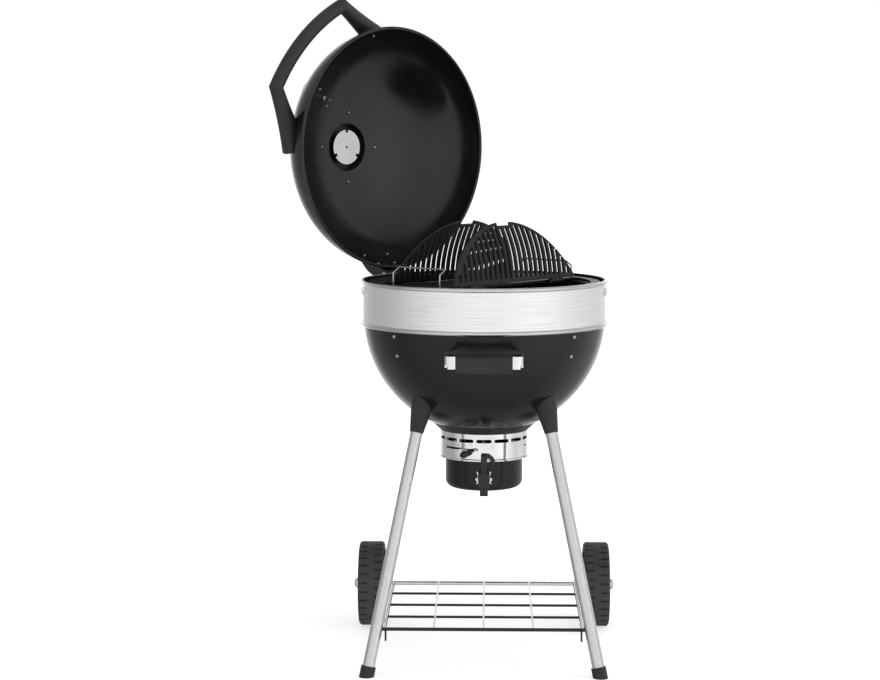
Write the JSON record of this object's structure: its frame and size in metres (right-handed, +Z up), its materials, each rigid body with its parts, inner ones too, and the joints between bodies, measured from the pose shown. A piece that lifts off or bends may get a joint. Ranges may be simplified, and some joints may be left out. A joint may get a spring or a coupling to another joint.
{
  "type": "kettle charcoal grill",
  "caption": "Round kettle charcoal grill on a wheeled four-leg stand, with a hinged lid thrown open, flap cooking grid, ash bucket and wire shelf.",
  "frame": {"origin": "on the floor, under the middle of the box that bounds the open grill", "axes": "+Z up, -Y towards the front handle and the ash bucket's latch, +X to the right seen from the front"},
  "size_m": [0.8277, 0.8211, 1.5456],
  "materials": {
    "black_enamel": "gloss enamel",
    "brushed_band": "brushed",
    "bright_steel": "bright",
    "chrome_plate": "polished",
    "chrome_wire": "plated wire",
    "black_paint": "satin",
    "black_plastic": "fine grained",
    "leg_tube": "satin",
    "cast_grid": "enamelled",
    "grate_wire": "plain wire",
    "dial_face": "satin",
    "dial_glass": "clear",
    "needle_red": "satin",
    "tyre_rubber": "matt"
  },
  "bodies": {
    "base": {"bowl": "black_enamel", "bowl_band": "brushed_band", "rim_ring_upper": "bright_steel", "rim_ring_lower": "bright_steel", "band_clips": "bright_steel", "grate_support_tabs": "bright_steel", "bowl_screws": "bright_steel", "leg_front_left": "leg_tube", "leg_front_right": "leg_tube", "leg_rear_left": "leg_tube", "leg_rear_right": "leg_tube", "leg_socket_front_left": "black_plastic", "leg_socket_front_right": "black_plastic", "leg_socket_rear_left": "black_plastic", "leg_socket_rear_right": "black_plastic", "leg_end_caps": "black_plastic", "axle": "bright_steel", "shelf_front_rail": "black_paint", "shelf_rods": "black_paint", "shelf_wires": "chrome_wire", "shelf_brackets": "black_paint", "bowl_handle_shield": "black_paint", "bowl_handle_grip": "black_plastic", "bowl_handle_brackets": "chrome_plate", "hinge_base": "black_paint", "hinge_pin": "bright_steel", "ash_ring": "chrome_plate", "ash_ring_collar": "black_paint"},
    "lid": {"lid": "black_enamel", "lid_handle_grip": "black_plastic", "lid_handle_arms": "black_plastic", "lid_hinge_leaf": "black_paint", "lid_screws": "bright_steel", "vent_base": "black_paint", "thermometer_case": "black_plastic", "thermometer_dial": "dial_face", "thermometer_glass": "dial_glass", "thermometer_stem": "bright_steel"},
    "vent": {"vent_cap": "black_paint", "vent_liner": "bright_steel"},
    "needle": {"thermometer_needle": "needle_red"},
    "cooking_grid": {"cooking_grid": "cast_grid", "flap_pins": "bright_steel", "grid_lift_handles": "chrome_wire"},
    "flap_right": {"grid_flap_right": "cast_grid"},
    "flap_left": {"grid_flap_left": "cast_grid"},
    "charcoal_grate": {"charcoal_grate_hoop": "grate_wire", "charcoal_grate_bars": "grate_wire"},
    "air_control": {"sweep_blades": "bright_steel", "control_shaft": "bright_steel", "lever_knob": "black_plastic"},
    "ash_bucket": {"ash_bucket": "black_enamel", "latch_bracket": "chrome_plate", "latch_pin": "bright_steel"},
    "latch": {"latch_lever": "black_plastic"},
    "wheel_right": {"wheel_right": "black_plastic", "tyre_right": "tyre_rubber"},
    "wheel_left": {"wheel_left": "black_plastic", "tyre_left": "tyre_rubber"}
  },
  "joints": [
    {"name": "lid_hinge", "type": "hinge", "parent": "base", "child": "lid", "pos_m": [-0.12212, 0.16169, 0.8794], "axis": [0.7193, 0.6947, 0], "range_deg": [0, 90]},
    {"name": "vent_turn", "type": "hinge", "parent": "lid", "child": "vent", "pos_m": [-0.26147, 0.30599, 1.1862], "axis": [-0.6947, 0.7193, 0], "range_deg": [0, 45]},
    {"name": "needle_turn", "type": "hinge", "parent": "lid", "child": "needle", "pos_m": [-0.30778, 0.21081, 1.30899], "axis": [0.8145, -0.4994, -0.2951], "range_deg": [0, 270]},
    {"name": "grid_lift", "type": "slide", "parent": "base", "child": "cooking_grid", "axis": [0, 0, 1], "range_m": [0, 0.035]},
    {"name": "flap_right_hinge", "type": "hinge", "parent": "cooking_grid", "child": "flap_right", "pos_m": [0.16529, -0.1198, 0.8765], "axis": [0.6334, 0.7738, 0], "range_deg": [0, 107]},
    {"name": "flap_left_hinge", "type": "hinge", "parent": "cooking_grid", "child": "flap_left", "pos_m": [0.01671, 0.0018, 0.8765], "axis": [-0.6334, -0.7738, 0], "range_deg": [0, 107]},
    {"name": "grate_lift", "type": "slide", "parent": "base", "child": "charcoal_grate", "axis": [0, 0, 1], "range_m": [0, 0.1]},
    {"name": "air_lever", "type": "hinge", "parent": "base", "child": "air_control", "pos_m": [0.091, -0.059, 0.495], "axis": [0, 0, -1], "range_deg": [0, 44]},
    {"name": "bucket_drop", "type": "slide", "parent": "base", "child": "ash_bucket", "axis": [0, 0, -1], "range_m": [0, 0.022]},
    {"name": "latch_turn", "type": "hinge", "parent": "ash_bucket", "child": "latch", "pos_m": [0.091, -0.172, 0.428], "axis": [1, 0, 0], "range_deg": [0, 20]},
    {"name": "wheel_right_spin", "type": "hinge", "parent": "base", "child": "wheel_right", "pos_m": [0.3695, 0.18486, 0.104], "axis": [1, 0, 0], "continuous": true},
    {"name": "wheel_left_spin", "type": "hinge", "parent": "base", "child": "wheel_left", "pos_m": [-0.1875, 0.18486, 0.104], "axis": [1, 0, 0], "continuous": true}
  ],
  "couplings": [
    {"joint": "latch_turn", "follows": "bucket_drop", "rad_per_m": 15.86}
  ]
}
